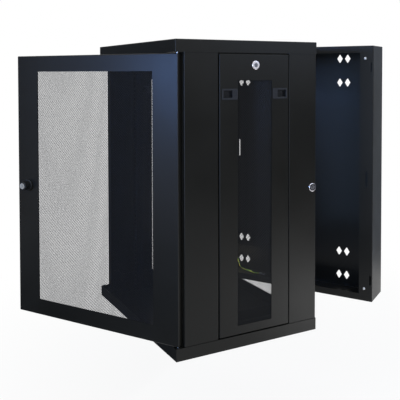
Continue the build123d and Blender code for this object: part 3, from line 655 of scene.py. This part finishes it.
# %% Green and yellow
stripe_from, stripe_to = 0.62, 0.70
waver_size, waver_width = 6 * millimetre, 0.12
scuff_size, scuff_depth, scuff_strength = 2 * millimetre, 0.02 * millimetre, 0.3
cover_roughness, scuff_roughness = 0.38, 0.2


def wire_cover(name, green, yellow):
    """Soft cover: yellow where the cosine of the angle round the wire is near 1 or -1, and green between."""
    material, shader, place = new_finish(name)
    turn = place.node("ShaderNodeAttribute", {"attribute_name": "round_wire"}, out="Fac")
    waver = (grain(place, waver_size) - 0.5) * waver_width
    limits = {"Value": turn * turn + waver, "From Min": stripe_from, "From Max": stripe_to}
    stripe = place.node("ShaderNodeMapRange", inputs=limits)
    scuff = grain(place, scuff_size, detail=3)
    lay_on(shader, "Base Color", two_tone(place, stripe, green, yellow))
    lay_on(shader, "Roughness", cover_roughness + scuff * scuff_roughness)
    lay_on(shader, "Normal", bumped(place, scuff, scuff_depth, scuff_strength))
    return material


earth_cover = wire_cover("green and yellow cover", (0.10, 0.42, 0.10), (0.90, 0.78, 0.12))
print("wire cover:", earth_cover.name)

# %% [markdown]
# ## Finishes on the pieces
# Every CAD node names a material slot in the record, so a table from slot to finish dresses them all. A few
# pieces differ from the rest of their slot and are named one by one: the plugs that the keys turn, the
# sliders of the latches, the door knob, and the bolts in the rails, which are blackened.

# %% Give every node and piece its finish
finishes = {
    "black_powder_coat": coat,
    "perforated_sheet": mesh_coat,
    "rail_black": rail_coat,
    "black_plastic": plastic,
    "chrome": chrome,
    "zinc_steel": zinc,
    "earth_insulation": earth_cover,
}
slot_of = {part["node"]: part["material_slot"] for part in frame["record"]["subparts"]}
own_finish = {name: key_metal for name in frame["nodes"] if name.endswith("lock_plug")}
# The sliders take the darker plastic, painted shade for their finger wells.
own_finish |= {name: shaded_slider_plastic for name in frame["nodes"] if name.endswith("slider")}
# The knob's insert takes the pale paint that is a painted reflection.
own_finish |= {"door_lock_base": knob_plastic, "door_lock_knob": knob_plastic, "door_lock_insert": silver}
own_finish["rail_bolts"] = rail_coat
for name, node in frame["nodes"].items():
    node.data.materials.clear()
    node.data.materials.append(own_finish.get(name, finishes[slot_of[name]]))
for piece in door_sheets + side_sheets:
    piece.data.materials.append(mesh_coat)
wire_mesh.materials.append(earth_cover)
print({name: list(slot_of.values()).count(name) for name in finishes})
print(len(own_finish), "nodes have a finish of their own")

# %% [markdown]
# ## Studio
# The photograph has a plain white ground and soft light from all round. Lamps strong enough to burn the
# ground white would grey the black paint. Instead the floor and the world shine white only to the camera and
# to mirrors, and light the cabinet softly. The floor lies below the cabinet, which hangs on a wall, and
# keeps a faint shadow.


# %% What the camera and mirrors see
def seen_directly(tree):
    """1 for rays from the camera, a mirror or through glass, and 0 for light that falls on the object."""
    seen = Flow(tree).node("ShaderNodeLightPath", out="Is Camera Ray")
    for kind in ("Is Glossy Ray", "Is Transmission Ray"):
        seen = seen.reckon("MAXIMUM", seen, seen.node("ShaderNodeLightPath", out=kind))
    return seen


print("seen directly:", seen_directly.__doc__)

# %% The floor
floor_drop = 0.35
floor_half = 7.0
floor_level = cad_low.z - floor_drop
shadow_inner, shadow_outer = 0.7, 2.0
white_inner, white_outer = 0.92, 1.0


def flat_rectangle(low, high):
    """Corners of a rectangle along the axes. Its lowest and highest corner share one coordinate."""
    corners = np.tile(np.array(low, float), (4, 1))
    first, second = np.flatnonzero(np.subtract(high, low))
    corners[[1, 2], first] = high[first]
    corners[[2, 3], second] = high[second]
    return corners


def studio_board(name, corners, material):
    """A flat face through four corners, for the studio round the cabinet; it rides on no body."""
    mesh = bpy.data.meshes.new(name)
    mesh.from_pydata(np.array(corners).tolist(), [], [(0, 1, 2, 3)])
    mesh.materials.append(material)
    board = in_scene(name, mesh)
    return board


pale, floor_shader, place = new_finish("pale floor")
floor_shader.inputs["Base Color"].default_value = (0.85, 0.85, 0.85, 1)
floor_shader.inputs["Roughness"].default_value = 0.9
tree = pale.node_tree
white = Flow(tree).node("ShaderNodeEmission", inputs={"Color": (1, 1, 1, 1), "Strength": 1.0})
reach = place.node("ShaderNodeVectorMath", {"operation": "LENGTH"}, {0: place}, out="Value")
fade = place.node(
    "ShaderNodeMapRange",
    {"interpolation_type": "SMOOTHSTEP"},
    {
        "Value": reach,
        "From Min": shadow_inner,
        "From Max": shadow_outer,
        "To Min": white_inner,
        "To Max": white_outer,
    },
)
lit = Flow(tree, floor_shader.outputs[0])
shown = white.node("ShaderNodeMixShader", inputs={0: seen_directly(tree) * fade, 1: lit, 2: white})
tree.links.new(shown.socket, tree.nodes["Material Output"].inputs["Surface"])
near_corner, far_corner = (-floor_half, -floor_half, floor_level), (floor_half, floor_half, floor_level)
studio_board("floor", flat_rectangle(near_corner, far_corner), pale)
print(f"floor {floor_drop} m below the cabinet")

# %% The world
world = bpy.data.worlds.new("studio")
bpy.context.scene.world = world
world.use_nodes = True
tree = world.node_tree
tree.nodes.clear()
white = Flow(tree).node("ShaderNodeBackground", inputs={"Color": (1, 1, 1, 1), "Strength": 1.0})
soft = Flow(tree).node("ShaderNodeBackground", inputs={"Color": (0.92, 0.96, 1, 1), "Strength": 0.5})
shown = white.node("ShaderNodeMixShader", inputs={0: seen_directly(tree), 1: soft, 2: white})
output = tree.nodes.new("ShaderNodeOutputWorld")
tree.links.new(shown.socket, output.inputs["Surface"])
print("world:", len(tree.nodes), "nodes")

# %% [markdown]
# One strong lamp would burn white spots into satin black, so nine weak ones share the work. Those above and
# behind draw the top edges. The bluish ones in front and at the sides show in the door and the side. A low
# one brightens the foot of the side. Two very small ones light the wall section, where the body keeps the
# others out: one faces its back, and one hangs in the dark corner over the earth wire.

# %% Lamps
sky_blue = (0.4, 0.6, 1)
on_floor = floor_level + 25 * millimetre


def soft_lamp(name, place, target, size, watts, colour, height=None):
    """An area lamp at place, facing target, square unless a height is given."""
    light = bpy.data.lights.new(name, "AREA")
    light.shape = "RECTANGLE"
    light.size = size
    light.size_y = height or size
    light.energy = watts
    light.color = colour
    lamp = in_scene(name, light)
    lamp.location = place
    aim = np.array(target) - np.array(place)
    lamp.rotation_euler = (math.acos(-aim[2] / np.linalg.norm(aim)), 0, math.atan2(-aim[0], aim[1]))
    lamp.visible_camera = False
    return lamp


soft_lamp("top lamp", (0.3, -1.2, 2.6), target=(0, -0.4, 0), size=2.0, watts=25, colour=(0.8, 0.9, 1))
soft_lamp("window", (-1.3, -3.5, 0.45), target=(0, -0.6, 0.2), size=0.5, watts=34, colour=(0.22, 0.43, 1))
soft_lamp("front lamp", (0.4, -3.3, 0.2), target=(0, -0.5, 0.1), size=1.4, watts=26, colour=sky_blue)
soft_lamp("right lamp", (2.3, -0.3, 0.95), target=(0, -0.6, 0.3), size=0.8, watts=5, colour=sky_blue)
soft_lamp("rear lamp", (1.0, 0.9, 2.9), target=(0, -0.6, 0.3), size=0.8, watts=14, colour=(0.7, 0.85, 1))
soft_lamp("floor glow", (1.3, -0.15, on_floor), target=(1.3, -0.15, 1), size=0.7, watts=6, colour=(1, 1, 1))
soft_lamp(
    "edge lamp",
    (2.2, -2.4, -0.1),
    target=(0, -1, -0.1),
    size=0.5,
    height=1.3,
    watts=5,
    colour=(0.5, 0.7, 1),
)
wire_lamp = soft_lamp(
    "wire lamp",
    (-0.235, -0.045, -0.345),
    target=(-0.235, -0.045, -1),
    size=0.1,
    height=0.05,
    watts=0.14,
    colour=(1, 1, 0.95),
)
wire_lamp.visible_glossy = False
soft_lamp(
    "wall lamp",
    (0.11, -0.2, 0.08),
    target=(0.11, 0, 0.08),
    size=0.2,
    height=0.65,
    watts=0.32,
    colour=(0.37, 0.6, 1),
)
print("lamps:", {light.name: round(light.energy, 2) for light in bpy.data.lights})

# %% [markdown]
# Satin black shows little but what it mirrors. Cards such as a photographer uses stand round the cabinet,
# where the camera doesn't see them, and give the sheets their slow changes from grey to black. The brown
# ones take the blue of the lamps out of the door's free edge.

# %% Dark cards
black, dark_brown, brown = (0.06, 0.06, 0.06), (0.08, 0.06, 0.03), (0.28, 0.19, 0.07)
dark_grey, grey = (0.15, 0.15, 0.15), (0.45, 0.45, 0.45)
card_foot = floor_level + 15 * millimetre
left_x, right_x = -2.6, 2.4


def card(name, corners, colour):
    """A matt card that the camera doesn't see and that throws no shadow, given by its four corners."""
    material, shader, _ = new_finish(name)
    shader.inputs["Base Color"].default_value = (*colour, 1)
    shader.inputs["Roughness"].default_value = 1.0
    board = studio_board(name, corners, material)
    board.visible_camera = False
    board.visible_shadow = False
    print(name, colour)


card("right card", flat_rectangle((right_x, -2.1, card_foot), (right_x, 1.8, 0.3)), black)
front_foot = [(-1.8, -1.2, card_foot), (0.1, -1.4, card_foot)]
card("front card", [*front_foot, (0.1, -2.8, -0.6), (-1.8, -2.6, -0.6)], dark_brown)
card("back card", flat_rectangle((0.4, 1.4, card_foot), (right_x, 1.4, 1.3)), grey)
card("left card", flat_rectangle((left_x, -2.0, card_foot), (left_x, 1.5, 1.5)), dark_grey)
card("left front card", flat_rectangle((left_x, -3.4, card_foot), (left_x, -2.0, 1.5)), brown)
card("floor card", flat_rectangle((-1.3, -1.2, on_floor), (-0.45, 1.0, on_floor)), black)
card("left floor card", flat_rectangle((left_x, -1.2, on_floor), (-1.3, 1.0, on_floor)), dark_brown)

# %% [markdown]
# ## Camera
# Turning a camera by hand until the edges agree takes long and never ends. These values come from a fit of
# the CAD's corners to the corners in the photograph. The camera stands near the height of the roof and looks
# almost level, so a shift brings the cabinet to the middle of the picture.

# %% The camera
image_size = 400
camera_place = (0.8617, -2.3089, 0.3490)
camera_yaw, camera_pitch, camera_roll = np.radians([-30.77, -1.70, -0.14])
focal_pixels = 630.3
principal_point = (188.5, 92.6)
sensor_width = 36.0

ahead = np.array(
    [
        math.sin(camera_yaw) * math.cos(camera_pitch),
        math.cos(camera_yaw) * math.cos(camera_pitch),
        math.sin(camera_pitch),
    ]
)
level_right = np.array([math.cos(camera_yaw), -math.sin(camera_yaw), 0])
level_up = np.cross(level_right, ahead)
right = level_right * math.cos(camera_roll) + level_up * math.sin(camera_roll)
up = level_up * math.cos(camera_roll) - level_right * math.sin(camera_roll)
lens = bpy.data.cameras.new("camera")
lens.sensor_width = sensor_width
lens.lens = focal_pixels / image_size * sensor_width
lens.shift_x = (image_size / 2 - principal_point[0]) / image_size
lens.shift_y = (principal_point[1] - image_size / 2) / image_size
camera = in_scene("camera", lens)
view = np.eye(4)
view[:3, :3] = np.column_stack([right, up, -ahead])
view[:3, 3] = camera_place
camera.matrix_world = view.T  # Blender takes the columns one by one
bpy.context.scene.camera = camera
bpy.context.scene.view_settings.view_transform = "Standard"
print(f"lens {lens.lens:.1f} mm, shift {lens.shift_x:.3f} {lens.shift_y:.3f}")

# %% [markdown]
# ## Size
# The looks must not change the size of the cabinet.
